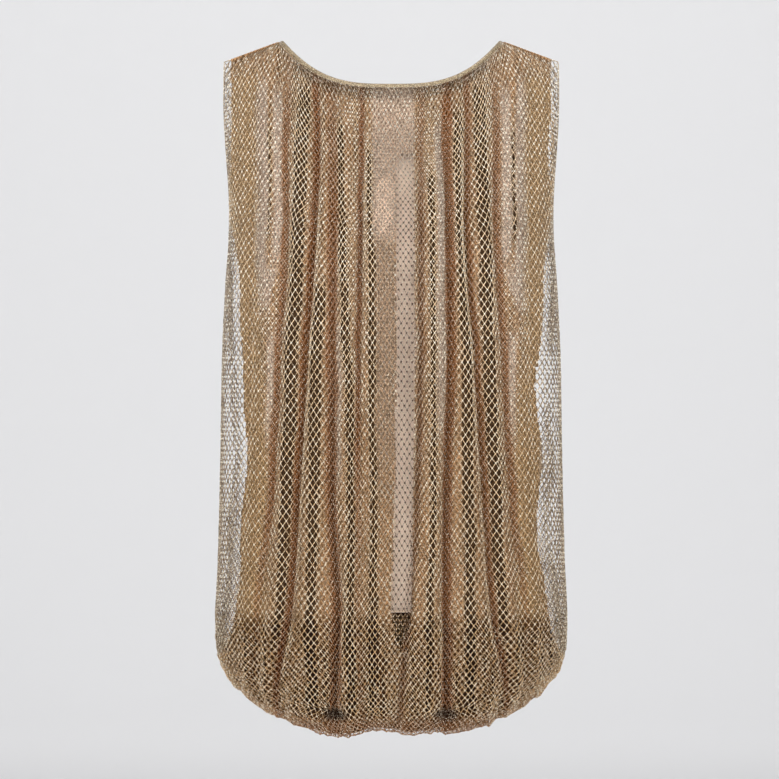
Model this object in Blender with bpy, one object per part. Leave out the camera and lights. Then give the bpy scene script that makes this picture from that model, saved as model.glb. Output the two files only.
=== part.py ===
"""Sleeveless mesh top with a gathered neck and a balloon hem, filled out as if worn, with no wearer.

Metres in Blender, +Z up. The sizes below are in millimetres and become metres in put_up().
The origin lies between the wearer's shoulders, at the height of the middle of the shoulder seams. The front faces
-Y and the wearer's left is +X. Forms are worked out from "drops", distances straight down from the high shoulder
points beside the neck, and put_up() raises them to the origin's level.
Every piece of cloth is a grid that is carried onto its form, with a second face behind it for its wall.
"""

from math import cos, hypot, pi, sin

import bmesh
import bpy
from mathutils import Vector

MM = 0.001
SEAM_GAP = 0.3  # between pieces that are sewn together

# Driving sizes of the top, in millimetres
SEAM_LEVEL = 11.5  # the high shoulder points stand this far above the origin
SHOULDER_HALF_WIDTH = 177.0
SHOULDER_DROP = 23.0  # from the high shoulder point to the shoulder tip
NECK_HALF_WIDTH = 114.5
NECK_FRONT = (78.0, 49.5)  # how far forward and how far down the front neckline's middle is
NECK_BACK = (62.0, 52.0)  # the same for the back neckline
NECK_CURVE = 3.0  # how flat the neckline's bottom is: 2 is a parabola
HEM_BAND_HEIGHT = 100.0
HEM_BAND_SPREAD = 12.0  # how much wider the band is at its top, each way
HEM_SIDE_RISE = 3.0  # how sharply the hem rises towards the sides
MESH_WALL = 1.6
LINING_WALL = 1.2
BAND_WALL = 2.4
BINDING_WIDTH = 5.0

# Lining sizes
LINING_NECK_HALF_WIDTH = 117.0
LINING_STRAP_END = 138.0
LINING_NECK_FRONT = (74.0, 57.0)
LINING_NECK_BACK = (58.0, 60.0)
LINING_BELOW_MESH = 3.8  # at the shoulder seam

# One row for each level of the mesh, by its distance along the cloth: its drop at the middle, how much higher it
# is at the side, the half width, the depths in front of and behind the shoulder seam, and how far the armhole's
# front and back edges stand from that seam. The last rows turn under and up to the hem band.
MESH_FORM = (
    # along, drop, side rise, half width, front, back, armhole front, armhole back
    (0.0, 0.0, 0.0, 177.0, 84.0, 70.0, 12.0, 10.0),
    (50.0, 50.0, 0.0, 176.5, 96.0, 84.0, 26.0, 20.0),
    (110.0, 110.0, 0.0, 172.5, 107.0, 97.0, 35.0, 27.0),
    (170.0, 170.0, 0.0, 170.7, 116.0, 103.0, 25.0, 20.0),
    (212.0, 212.0, 0.0, 172.0, 121.0, 105.0, 0.0, 0.0),
    (254.0, 254.0, 0.0, 175.0, 124.0, 105.0, 0.0, 0.0),
    (340.0, 340.0, 0.0, 179.0, 123.0, 107.0, 0.0, 0.0),
    (445.0, 445.0, 0.0, 180.7, 124.0, 112.0, 0.0, 0.0),
    (551.0, 551.0, 0.0, 183.4, 130.0, 121.0, 0.0, 0.0),
    (612.0, 612.0, 0.0, 186.0, 135.0, 128.0, 0.0, 0.0),
    (640.0, 639.0, 3.0, 185.5, 136.0, 128.5, 0.0, 0.0),
    (664.0, 662.0, 9.0, 183.0, 134.5, 127.0, 0.0, 0.0),
    (684.0, 681.0, 17.0, 179.0, 131.5, 124.0, 0.0, 0.0),
    (700.0, 696.0, 24.0, 174.5, 127.0, 120.0, 0.0, 0.0),
    (714.0, 709.5, 30.0, 169.0, 121.0, 114.0, 0.0, 0.0),
    (726.0, 720.0, 34.0, 163.0, 115.0, 108.5, 0.0, 0.0),
    (736.0, 727.5, 36.0, 156.5, 110.0, 104.5, 0.0, 0.0),
    (744.0, 732.5, 37.0, 150.5, 106.0, 101.0, 0.0, 0.0),
    (751.0, 735.0, 37.0, 144.5, 102.0, 97.5, 0.0, 0.0),
    (759.0, 733.0, 37.0, 138.5, 98.0, 94.0, 0.0, 0.0),
    (769.0, 725.0, 36.0, 135.0, 95.5, 91.5, 0.0, 0.0),
    (780.0, 714.0, 35.0, 134.0, 94.5, 90.5, 0.0, 0.0),
)

LINING_FORM = (
    # along, drop, side rise, half width, front, back, armhole front, armhole back
    (0.0, 0.0, 0.0, 138.0, 60.0, 50.0, 14.0, 12.0),
    (60.0, 60.0, 0.0, 124.0, 76.0, 66.0, 34.0, 30.0),
    (130.0, 130.0, 0.0, 117.0, 87.0, 77.0, 46.0, 40.0),
    (190.0, 190.0, 0.0, 117.5, 95.0, 84.0, 44.0, 38.0),
    (240.0, 240.0, 0.0, 125.0, 98.0, 85.0, 28.0, 24.0),
    (286.0, 286.0, 0.0, 137.0, 98.0, 84.0, 0.0, 0.0),
    (340.0, 340.0, 0.0, 138.0, 94.0, 82.0, 0.0, 0.0),
    (445.0, 445.0, 0.0, 146.0, 97.0, 90.0, 0.0, 0.0),
    (551.0, 551.0, 0.0, 156.0, 104.0, 101.0, 0.0, 0.0),
    (602.0, 602.0, 0.0, 159.5, 106.0, 104.0, 0.0, 0.0),
)

# The distances along the cloth at which the tables below give a fold's place and depth
FOLD_STATIONS = (0.0, 110.0, 190.0, 330.0, 480.0, 610.0, 690.0, 735.0, 780.0)
# One row for each fold of the front, from the wearer's right to left: half the fold's width, the height of the
# rounded ridge that follows it, its distance from the middle at each station, and its depth there.
FRONT_FOLDS = (
    # half width, ridge, places, depths
    (5.0, 2.0, (-152, -149, -147, -149, -155, -163, -163, -145, -120), (0.5, 3, 4, 4, 3, 1.5, 1, 0.5, 0.5)),
    (5.5, 3.5, (-106, -110, -110, -118, -126, -141, -144, -129, -106), (0.5, 6, 8, 8, 6, 2, 1.5, 1, 0.5)),
    (5.5, 2.0, (-80, -78, -78, -88, -98, -108, -121, -111, -90), (2.0, 9, 12, 12, 12, 10, 4.5, 2.5, 1.5)),
    (5.0, 3.5, (-63, -62, -61, -62, -62, -56, -59, -58, -48), (1.5, 4, 6, 9, 11, 12, 12, 4, 1.5)),
    (5.0, 4.0, (-31, -31, -32, -34, -35, -34, -31, -27, -22), (2.0, 7, 10, 9, 4, 2, 2.5, 2, 1)),
    (5.0, 2.5, (31, 31, 31, 31, 27, 18, 11, 7, 5), (1.5, 6, 9, 10, 10, 9, 7, 4, 2)),
    (6.0, 1.5, (57, 58, 60, 62, 58, 57, 58, 58, 48), (1.5, 8, 12, 12, 12, 12, 12, 4, 1.5)),
    (5.5, 3.5, (80, 79, 79, 89, 98, 108, 121, 111, 90), (2.0, 9, 12, 12, 12, 10, 4.5, 2.5, 1.5)),
    (5.5, 2.0, (106, 110, 110, 118, 126, 141, 144, 129, 106), (0.5, 6, 8, 8, 6, 2, 1.5, 1, 0.5)),
    (5.0, 0.0, (152, 149, 147, 149, 155, 163, 163, 145, 120), (0.5, 3, 4, 4, 3, 1.5, 1, 0.5, 0.5)),
)
# The back's folds, which the photograph hides, follow the same plan
BACK_FOLDS = (
    (5.0, 2.0, (-151, -148, -146, -148, -152, -158, -156, -140, -117), (0.5, 3, 4, 4, 3, 1.5, 1, 0.5, 0.5)),
    (5.5, 3.5, (-106, -104, -101, -106, -112, -119, -119, -109, -90), (0.5, 5, 8, 9, 9, 8, 6, 3, 1)),
    (5.5, 3.5, (-74, -73, -70, -73, -79, -82, -81, -75, -62), (2.0, 7, 11, 12, 12, 11, 8, 4, 2)),
    (5.0, 3.5, (-42, -42, -40, -41, -38, -41, -42, -40, -34), (2.0, 6, 10, 10, 8, 9, 8, 4, 2)),
    (5.0, 3.5, (-8, -9, -10, -7, -5, -8, -9, -8, -7), (1.5, 6, 10, 11, 11, 10, 8, 4, 2)),
    (5.5, 3.5, (33, 32, 30, 31, 35, 36, 34, 32, 26), (2.0, 6, 9, 11, 12, 10, 7, 4, 2)),
    (5.5, 3.5, (71, 69, 67, 70, 74, 79, 78, 72, 60), (2.0, 7, 11, 12, 11, 10, 8, 4, 2)),
    (5.5, 2.0, (107, 105, 102, 106, 111, 117, 117, 107, 88), (0.5, 5, 8, 9, 9, 8, 6, 3, 1)),
    (5.0, 0.0, (151, 148, 146, 148, 152, 158, 156, 140, 117), (0.5, 3, 4, 4, 3, 1.5, 1, 0.5, 0.5)),
)

# How far the hem's lowest line is lifted, by distance from the middle: lobes hang between the folds
HEM_LOBES = (
    # place, lift in front, lift behind
    (-150.0, 0.0, 0.0),
    (-90.0, 2.0, 1.0),
    (-52.0, 0.0, 3.0),
    (-16.0, 8.5, 0.5),
    (0.0, 5.0, 2.5),
    (22.0, 1.0, 5.0),
    (43.0, 4.0, 1.0),
    (62.0, 1.0, 3.5),
    (95.0, 2.5, 0.5),
    (150.0, 0.0, 0.0),
)

MESH_ROWS = (
    0, 4, 13, 30, 60, 100, 145, 190, 240, 300, 370, 440, 510, 565, 612, 645, 672, 696, 714, 730, 742, 751, 762, 780
)
LINING_ROWS = (0, 5, 16, 36, 75, 130, 190, 240, 286, 360, 450, 530, 602)
HEM_GATHERS = 36
NECK_STEPS = 60


def between(levels, values, drop):
    """The value at this drop, on smooth curves through the values at the levels."""
    if drop <= levels[0]:
        return values[0]
    for i in range(len(levels) - 1):
        if drop <= levels[i + 1]:
            span = levels[i + 1] - levels[i]
            t = (drop - levels[i]) / span
            before = slope(levels, values, i) * span
            after = slope(levels, values, i + 1) * span
            return (
                (2 * t**3 - 3 * t**2 + 1) * values[i]
                + (t**3 - 2 * t**2 + t) * before
                + (3 * t**2 - 2 * t**3) * values[i + 1]
                + (t**3 - t**2) * after
            )
    return values[-1]


def slope(levels, values, i):
    """The curve's slope at a level: flat at a turning point, so that it never overshoots."""
    if i in (0, len(levels) - 1):
        j = min(i, len(levels) - 2)
        return (values[j + 1] - values[j]) / (levels[j + 1] - levels[j])
    left = (values[i] - values[i - 1]) / (levels[i] - levels[i - 1])
    right = (values[i + 1] - values[i]) / (levels[i + 1] - levels[i])
    return 0.0 if left * right <= 0 else 2 * left * right / (left + right)


def smooth(t):
    t = min(max(t, 0.0), 1.0)
    return t * t * (3 - 2 * t)


def neckline(angle, half_width, front, back):
    """A point of a neckline. The angle runs from the left high point round the front to the right one."""
    reach, fall = front if sin(angle) >= 0 else back
    across = cos(angle)
    return Vector(
        (half_width * across, -reach * sin(angle), -fall * (1 - abs(across) ** NECK_CURVE))
    )


def neck_side(angle):
    """The direction away from the neck, along the cloth, at this angle of the neckline."""
    over_shoulder = Vector((cos(angle) * 0.93, 0.0, -0.35 * abs(cos(angle))))
    down_chest = Vector((0.0, -0.38 * sin(angle), -0.92 * abs(sin(angle))))
    return (over_shoulder + down_chest).normalized()


class Panel:
    """The form of one front or back panel: a grid of places u across, from -1 to 1, and drops."""

    SHOULDER_ROLL = 75.0
    NECK_ROLL = 150.0
    SQUARENESS = 0.9

    def __init__(self, form, side, top_edge, neck_u):
        self.levels = tuple(row[0] for row in form)
        self.drops = tuple(row[1] for row in form)
        self.rises = tuple(row[2] for row in form)
        self.widths = tuple(row[3] for row in form)
        self.depths = tuple(row[4 if side < 0 else 5] for row in form)
        self.gaps = tuple(row[6 if side < 0 else 7] for row in form)
        self.lobe_places = tuple(row[0] for row in HEM_LOBES)
        self.lobe_lifts = tuple(row[1 if side < 0 else 2] for row in HEM_LOBES)
        self.side = side
        self.top_edge = top_edge
        self.neck_u = neck_u

    def point(self, u, along):
        """The smooth form, before its folds. side is -1 in front and 1 behind."""
        top = self.top_edge(u)
        level = along - top.z * (1 - smooth(along / 260.0))
        width = between(self.levels, self.widths, level)
        depth = between(self.levels, self.depths, level)
        gap = max(between(self.levels, self.gaps, level), SEAM_GAP / 2)
        turn = u * pi / 2
        x = width * sin(turn)
        y = self.side * (gap + (depth - gap) * max(cos(turn), 0.0) ** self.SQUARENESS)
        rise = between(self.levels, self.rises, level) * abs(sin(turn)) ** HEM_SIDE_RISE
        lobed = smooth((level - 690.0) / 50.0) * smooth((780.0 - level) / 25.0)
        rise += between(self.lobe_places, self.lobe_lifts, x) * lobed
        shoulder = smooth((abs(u) - self.neck_u * 0.7) / (self.neck_u * 0.5))
        reach = (level + top.z) / (self.NECK_ROLL + (self.SHOULDER_ROLL - self.NECK_ROLL) * shoulder)
        rest = 1 - min(max(reach, 0.0), 1.0)
        rolled = (1 - rest * rest) ** (0.85 - 0.35 * shoulder)
        return Vector(
            (
                top.x + (x - top.x) * smooth((level + top.z) / 170.0),
                top.y + (y - top.y) * rolled,
                rise - between(self.levels, self.drops, level),
            )
        )

    def outward(self, u, drop):
        """The horizontal direction out of the smooth form."""
        step = 0.004
        along = self.point(min(u + step, 1.0), drop) - self.point(max(u - step, -1.0), drop)
        size = hypot(along.x, along.y)
        return Vector((-along.y, along.x, 0.0)) * (self.side / size)

    def u_at(self, x, drop):
        """The place across at which the form is this far from the middle."""
        low, high = -1.0, 1.0
        for _ in range(30):
            middle = (low + high) / 2
            if self.point(middle, drop).x < x:
                low = middle
            else:
                high = middle
        return (low + high) / 2


def mesh_top_edge(side):
    """The top edge of a mesh panel: the neckline under its binding, then the shoulder seam."""
    front_or_back = pi / 2 if side < 0 else -pi / 2
    corner = neckline(0, NECK_HALF_WIDTH, NECK_FRONT, NECK_BACK)
    corner += neck_side(0) * (BINDING_WIDTH + SEAM_GAP)

    def edge(u):
        if abs(u) < MESH_NECK_U:
            angle = front_or_back * (1 - u / MESH_NECK_U)
            place = neckline(angle, NECK_HALF_WIDTH, NECK_FRONT, NECK_BACK)
            place += neck_side(angle) * (BINDING_WIDTH + SEAM_GAP)
            if abs(place.y) < SEAM_GAP / 2:
                place.y = side * SEAM_GAP / 2
            return place
        along = (abs(u) - MESH_NECK_U) / (1 - MESH_NECK_U)
        x = corner.x + (SHOULDER_HALF_WIDTH - corner.x) * along
        z = corner.z + (-SHOULDER_DROP - corner.z) * along
        return Vector((x if u > 0 else -x, side * SEAM_GAP / 2, z))

    return edge


def lining_top_edge(side):
    """The top edge of a lining panel: its lower neckline, then a narrow strap caught in the shoulder seam."""
    front_or_back = pi / 2 if side < 0 else -pi / 2
    reach, fall = LINING_NECK_FRONT if side < 0 else LINING_NECK_BACK
    slant = SHOULDER_DROP / (SHOULDER_HALF_WIDTH - NECK_HALF_WIDTH)

    def edge(u):
        if abs(u) < LINING_NECK_U:
            angle = front_or_back * (1 - u / LINING_NECK_U)
            place = neckline(angle, LINING_NECK_HALF_WIDTH, (reach, fall), (reach, fall))
            place.z -= LINING_BELOW_MESH
            if abs(place.y) < SEAM_GAP / 2:
                place.y = side * SEAM_GAP / 2
            return place
        along = (abs(u) - LINING_NECK_U) / (1 - LINING_NECK_U)
        x = LINING_NECK_HALF_WIDTH + (LINING_STRAP_END - LINING_NECK_HALF_WIDTH) * along
        z = -LINING_BELOW_MESH - slant * (x - LINING_NECK_HALF_WIDTH)
        return Vector((x if u > 0 else -x, side * SEAM_GAP / 2, z))

    return edge


MESH_NECK_U = 0.5
LINING_NECK_U = 0.68


def bell(t):
    """A fold's section: 1 at its middle and 0 past its half width."""
    return (1 - t * t) ** 2 if abs(t) < 1 else 0.0


class Folds:
    """The folds of a panel, which say where its columns run and how far each is moved in or out."""

    SIDE_COLUMNS = 4
    ACROSS_A_FOLD = (-1.0, -0.36, 0.36, 1.0)
    ACROSS_A_RIDGE = (0.33, 0.67)

    def __init__(self, panel, table):
        self.panel = panel
        self.table = table
        self.columns = (
            self.SIDE_COLUMNS * 2
            + len(self.ACROSS_A_FOLD) * len(table)
            + len(self.ACROSS_A_RIDGE) * (len(table) - 1)
        )

    def places(self, drop):
        """(place across u, move outwards) of every column at this drop."""
        centres = [between(FOLD_STATIONS, row[2], drop) for row in self.table]
        depths = [between(FOLD_STATIONS, row[3], drop) for row in self.table]
        settle = smooth(drop / 90.0) * (1 - 0.6 * smooth((drop - 690.0) / 80.0))
        xs, moves = [], []
        for i, (half, ridge, _, _) in enumerate(self.table):
            for t in self.ACROSS_A_FOLD:
                xs.append(centres[i] + t * half)
                moves.append(-depths[i] * bell(t))
            if i + 1 < len(self.table):
                start, end = centres[i] + half, centres[i + 1] - self.table[i + 1][0]
                for t in self.ACROSS_A_RIDGE:
                    xs.append(start + (end - start) * t)
                    moves.append(ridge * settle)
        us = [self.panel.u_at(x, drop) for x in xs]
        n = self.SIDE_COLUMNS
        left = [-1 + (us[0] + 1) * k / n for k in range(n)]
        right = [us[-1] + (1 - us[-1]) * (k + 1) / n for k in range(n)]
        return list(zip(left + us + right, [0.0] * n + moves + [0.0] * n))


def put_up(place):
    return (place + Vector((0.0, 0.0, SEAM_LEVEL))) * MM


def cloth_wall(name, columns, rows, outside, inside, colour, closed=False):
    """A named piece of cloth: outside(column, row) and inside(column, row) place the two faces of its wall.

    Columns run left to right as seen from outside and rows from top to bottom. A closed piece is a ring.
    """
    bm = bmesh.new()
    bmesh.ops.create_grid(bm, x_segments=columns, y_segments=rows, size=1.0)
    grown = bmesh.ops.extrude_face_region(bm, geom=bm.faces[:])["geom"]
    behind = {item for item in grown if isinstance(item, bmesh.types.BMVert)}
    if closed:
        ends = [f for f in bm.faces if min(abs(v.co.x) for v in f.verts) > 1 - 0.5 / columns]
        bmesh.ops.delete(bm, geom=ends, context="FACES")
    for vert in bm.verts:
        column = round((vert.co.x + 1) / 2 * columns)
        row = round((1 - vert.co.y) / 2 * rows)
        vert.co = put_up((inside if vert in behind else outside)(column, row))
    if closed:
        bmesh.ops.remove_doubles(bm, verts=bm.verts, dist=0.01 * MM)
    if bm.calc_volume(signed=True) < 0:
        bmesh.ops.reverse_faces(bm, faces=bm.faces)
    for face in bm.faces:
        face.smooth = True
    mesh = bpy.data.meshes.new(name)
    bm.to_mesh(mesh)
    bm.free()
    obj = bpy.data.objects.new(name, mesh)
    bpy.context.scene.collection.objects.link(obj)
    mesh.materials.append(finish(name, *colour))
    return obj


def wall_behind(grid, wall, side):
    """The inside face of a panel: every point moved in by the wall, and kept on its own side of the seams."""

    def inside(column, row):
        last_column, last_row = len(grid[0]) - 1, len(grid) - 1
        across = grid[row][min(column + 1, last_column)] - grid[row][max(column - 1, 0)]
        down = grid[min(row + 1, last_row)][column] - grid[max(row - 1, 0)][column]
        point = grid[row][column] + across.cross(down).normalized() * wall
        point.y = side * max(side * point.y, SEAM_GAP / 2)
        return point

    return inside


def finish(name, colour, roughness, metallic):
    material = bpy.data.materials.new(name)
    material.use_nodes = True
    shader = material.node_tree.nodes["Principled BSDF"]
    shader.inputs["Base Color"].default_value = (*colour, 1.0)
    shader.inputs["Roughness"].default_value = roughness
    shader.inputs["Metallic"].default_value = metallic
    return material


GOLD_NET = ((0.52, 0.39, 0.24), 0.38, 0.7)
NUDE_JERSEY = ((0.66, 0.47, 0.37), 0.62, 0.0)


def mesh_panel(name, side, folds):
    """The front or back mesh panel, gathered at the neck and ballooning over the hem band."""
    panel = Panel(MESH_FORM, side, mesh_top_edge(side), MESH_NECK_U)
    plan = Folds(panel, folds)
    grid = []
    for drop in MESH_ROWS:
        row = []
        for u, move in plan.places(drop):
            fade = 0.35 + 0.65 * smooth(drop / 30.0)
            row.append(panel.point(u, drop) + panel.outward(u, drop) * move * fade)
        grid.append(row if side < 0 else row[::-1])
    return panel_wall(name, grid, side, MESH_WALL, GOLD_NET)


def lining_panel(name, side):
    """The front or back of the plain tank lining."""
    panel = Panel(LINING_FORM, side, lining_top_edge(side), LINING_NECK_U)
    columns = 18
    places = [side * (1 - 2 * column / columns) for column in range(columns + 1)]
    grid = [[panel.point(u, drop) for u in places] for drop in LINING_ROWS]
    return panel_wall(name, grid, side, LINING_WALL, NUDE_JERSEY)


def panel_wall(name, grid, side, wall, colour):
    inside = wall_behind(grid, wall, side)
    columns, rows = len(grid[0]) - 1, len(grid) - 1
    return cloth_wall(name, columns, rows, lambda c, r: grid[r][c], inside, colour)


def neck_binding():
    """The narrow binding, one ring round the whole neckline."""

    def ring(inward):
        def place(column, row):
            angle = pi - 2 * pi * column / NECK_STEPS
            away = neck_side(angle)
            along = Vector((-sin(angle), -cos(angle), 0.0))
            start = neckline(angle, NECK_HALF_WIDTH, NECK_FRONT, NECK_BACK)
            bulge = (0.0, 0.5, 0.0)[row]
            out = away.cross(along).normalized()
            return start + away * BINDING_WIDTH * row / 2 + out * (bulge - inward)

        return place

    return cloth_wall("neck_binding", NECK_STEPS, 2, ring(0.0), ring(BAND_WALL), GOLD_NET, closed=True)


def hem_band():
    """The elastic hem band, gathered all round, which stands inside the balloon from the mesh's turned edge."""
    columns = HEM_GATHERS * 3
    _, drop, rise, half_width, front, back, _, _ = MESH_FORM[-1]
    # one row for each level of the band, from its top: its height and how far the gathers stand out
    levels = ((1.0, 0.4), (0.93, 1.4), (0.5, 1.8), (0.1, 1.6), (0.0, 0.4))

    def ring(inward):
        def place(column, row):
            angle = 2 * pi * column / columns
            share, gather = levels[row]
            puff = gather * cos(angle * HEM_GATHERS) - inward + HEM_BAND_SPREAD * share
            depth = front if cos(angle) > 0 else back
            x = (half_width + puff) * sin(angle)
            y = -(depth + puff) * cos(angle)
            lift = rise * abs(sin(angle)) ** HEM_SIDE_RISE * (1 - share)
            return Vector((x, y, lift - drop + SEAM_GAP + HEM_BAND_HEIGHT * share))

        return place

    rows = len(levels) - 1
    return cloth_wall("hem_band", columns, rows, ring(0.0), ring(BAND_WALL), GOLD_NET, closed=True)


def build():
    for obj in list(bpy.data.objects):
        bpy.data.objects.remove(obj)
    mesh_panel("mesh_front", -1, FRONT_FOLDS)
    mesh_panel("mesh_back", 1, BACK_FOLDS)
    lining_panel("lining_front", -1)
    lining_panel("lining_back", 1)
    neck_binding()
    hem_band()


build()
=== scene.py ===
# %% [markdown]
# # A sleeveless net top with a balloon hem
# The top is a loose gold net, gathered into a narrow binding at the neck. It hangs in long folds over a
# plain nude tank lining, and its hem is turned under and drawn in by a gathered band. It keeps the shape it
# has on a wearer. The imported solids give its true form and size, and this script gives every piece its looks.

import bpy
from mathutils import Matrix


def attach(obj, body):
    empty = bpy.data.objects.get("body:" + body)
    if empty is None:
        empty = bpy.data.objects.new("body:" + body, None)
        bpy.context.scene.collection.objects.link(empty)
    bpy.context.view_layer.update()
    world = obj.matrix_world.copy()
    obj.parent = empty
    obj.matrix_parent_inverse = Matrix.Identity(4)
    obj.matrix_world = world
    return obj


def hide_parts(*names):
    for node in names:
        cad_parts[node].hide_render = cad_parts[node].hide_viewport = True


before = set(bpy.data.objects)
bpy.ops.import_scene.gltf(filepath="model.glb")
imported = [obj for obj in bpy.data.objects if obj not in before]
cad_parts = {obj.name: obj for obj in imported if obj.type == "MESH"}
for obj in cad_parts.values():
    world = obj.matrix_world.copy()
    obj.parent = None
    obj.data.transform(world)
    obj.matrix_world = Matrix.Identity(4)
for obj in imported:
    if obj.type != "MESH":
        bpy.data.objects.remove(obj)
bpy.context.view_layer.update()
print("solids:", sorted(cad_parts))

# %% Tools and sizes that all pieces share
from bisect import bisect_right
from math import cos, hypot, pi, sin

import bmesh
import bpy
from mathutils import Vector, noise

noise.seed_set(1)  # noise_vector, which shifts the net's corners, is the same in every run
MM = 0.001
SEAM_LEVEL = 11.5  # the high shoulder points stand this far above the origin
SEAM_GAP = 0.3
SHOULDER_HALF_WIDTH = 177.0
SHOULDER_DROP = 23.0
NECK_HALF_WIDTH = 114.5
NECK_FRONT = (78.0, 49.5)
NECK_BACK = (62.0, 52.0)
NECK_CURVE = 3.0
BINDING_WIDTH = 5.0
HEM_BAND_HEIGHT = 100.0
HEM_BAND_SPREAD = 12.0
HEM_GATHERS = 36
HEM_SIDE_RISE = 3.0


def new_object(name, data):
    thing = bpy.data.objects.new(name, data)
    bpy.context.scene.collection.objects.link(thing)
    return thing


# %% [markdown]
# ## The camera
# The photograph is a straight front view at the height of the top's middle, taken with a long lens, so the
# folds hardly change in size from front to back. A long lens six metres away gives the same view. The lens
# follows from the width that the frame covers at the shoulders: 779 pixels of 1.06 mm.

# %% Camera
MM_PER_PIXEL = 1.06
PIXELS = 779
CAMERA_AWAY = 6.0


def pixel(x, y):
    """(x, z) in metres of a pixel of the photograph, on the plane of the shoulder seams."""
    return ((x - 391.25) * MM_PER_PIXEL * MM, (SEAM_LEVEL - (y - 40.5) * MM_PER_PIXEL) * MM)


camera = new_object("camera", bpy.data.cameras.new("camera"))
middle_x, middle_z = pixel(PIXELS / 2, PIXELS / 2)
camera.location = (middle_x, -CAMERA_AWAY, middle_z)
camera.rotation_euler = (pi / 2, 0, 0)
camera.data.lens = camera.data.sensor_width * CAMERA_AWAY / (PIXELS * MM_PER_PIXEL * MM)
camera.data.clip_end = 50
bpy.context.scene.camera = camera
bpy.context.scene.view_settings.view_transform = "Standard"
print("lens", round(camera.data.lens), "mm")

# %% [markdown]
# ## The form of the cloth
# Cloth that hangs from the shoulders is a surface with two directions: across, from one side seam to the
# other, and along, from the neck down to the hem. A short table gives the form at a few levels, and smooth
# curves run through its rows. The folds are a second table: each has a place, a width and a depth at every
# level.

# %% Smooth curves through a table


def slope(levels, values, i):
    if i in (0, len(levels) - 1):
        j = min(i, len(levels) - 2)
        return (values[j + 1] - values[j]) / (levels[j + 1] - levels[j])
    left = (values[i] - values[i - 1]) / (levels[i] - levels[i - 1])
    right = (values[i + 1] - values[i]) / (levels[i + 1] - levels[i])
    return 0.0 if left * right <= 0 else 2 * left * right / (left + right)


def between(levels, values, level):
    """The value at this level, on smooth curves through the values, which never overshoot them."""
    if level <= levels[0]:
        return values[0]
    if level >= levels[-1]:
        return values[-1]
    i = bisect_right(levels, level) - 1
    span = levels[i + 1] - levels[i]
    t = (level - levels[i]) / span
    return (
        (2 * t**3 - 3 * t**2 + 1) * values[i]
        + (t**3 - 2 * t**2 + t) * slope(levels, values, i) * span
        + (3 * t**2 - 2 * t**3) * values[i + 1]
        + (t**3 - t**2) * slope(levels, values, i + 1) * span
    )


def smooth(t):
    t = min(max(t, 0.0), 1.0)
    return t * t * (3 - 2 * t)


# %% The tables of the form, in millimetres
MESH_FORM = (
    # along, drop, side rise, half width, front, back, armhole front, armhole back
    (0.0, 0.0, 0.0, 177.0, 84.0, 70.0, 12.0, 10.0),
    (50.0, 50.0, 0.0, 176.5, 96.0, 84.0, 26.0, 20.0),
    (110.0, 110.0, 0.0, 172.5, 107.0, 97.0, 35.0, 27.0),
    (170.0, 170.0, 0.0, 170.7, 116.0, 103.0, 25.0, 20.0),
    (212.0, 212.0, 0.0, 172.0, 121.0, 105.0, 0.0, 0.0),
    (254.0, 254.0, 0.0, 175.0, 124.0, 105.0, 0.0, 0.0),
    (340.0, 340.0, 0.0, 179.0, 123.0, 107.0, 0.0, 0.0),
    (445.0, 445.0, 0.0, 180.7, 124.0, 112.0, 0.0, 0.0),
    (551.0, 551.0, 0.0, 183.4, 130.0, 121.0, 0.0, 0.0),
    (612.0, 612.0, 0.0, 186.0, 135.0, 128.0, 0.0, 0.0),
    (640.0, 639.0, 3.0, 185.5, 136.0, 128.5, 0.0, 0.0),
    (664.0, 662.0, 9.0, 183.0, 134.5, 127.0, 0.0, 0.0),
    (684.0, 681.0, 17.0, 179.0, 131.5, 124.0, 0.0, 0.0),
    (700.0, 696.0, 24.0, 174.5, 127.0, 120.0, 0.0, 0.0),
    (714.0, 709.5, 30.0, 169.0, 121.0, 114.0, 0.0, 0.0),
    (726.0, 720.0, 34.0, 163.0, 115.0, 108.5, 0.0, 0.0),
    (736.0, 727.5, 36.0, 156.5, 110.0, 104.5, 0.0, 0.0),
    (744.0, 732.5, 37.0, 150.5, 106.0, 101.0, 0.0, 0.0),
    (751.0, 735.0, 37.0, 144.5, 102.0, 97.5, 0.0, 0.0),
    (759.0, 733.0, 37.0, 138.5, 98.0, 94.0, 0.0, 0.0),
    (769.0, 725.0, 36.0, 135.0, 95.5, 91.5, 0.0, 0.0),
    (780.0, 714.0, 35.0, 134.0, 94.5, 90.5, 0.0, 0.0),
)
LINING_FORM = (
    # along, drop, side rise, half width, front, back, armhole front, armhole back
    (0.0, 0.0, 0.0, 138.0, 60.0, 50.0, 14.0, 12.0),
    (60.0, 60.0, 0.0, 124.0, 76.0, 66.0, 34.0, 30.0),
    (130.0, 130.0, 0.0, 117.0, 87.0, 77.0, 46.0, 40.0),
    (190.0, 190.0, 0.0, 117.5, 95.0, 84.0, 44.0, 38.0),
    (240.0, 240.0, 0.0, 125.0, 98.0, 85.0, 28.0, 24.0),
    (286.0, 286.0, 0.0, 137.0, 98.0, 84.0, 0.0, 0.0),
    (340.0, 340.0, 0.0, 138.0, 94.0, 82.0, 0.0, 0.0),
    (445.0, 445.0, 0.0, 146.0, 97.0, 90.0, 0.0, 0.0),
    (551.0, 551.0, 0.0, 156.0, 104.0, 101.0, 0.0, 0.0),
    (602.0, 602.0, 0.0, 159.5, 106.0, 104.0, 0.0, 0.0),
)
FOLD_STATIONS = (0.0, 110.0, 190.0, 330.0, 480.0, 610.0, 690.0, 735.0, 780.0)
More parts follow.
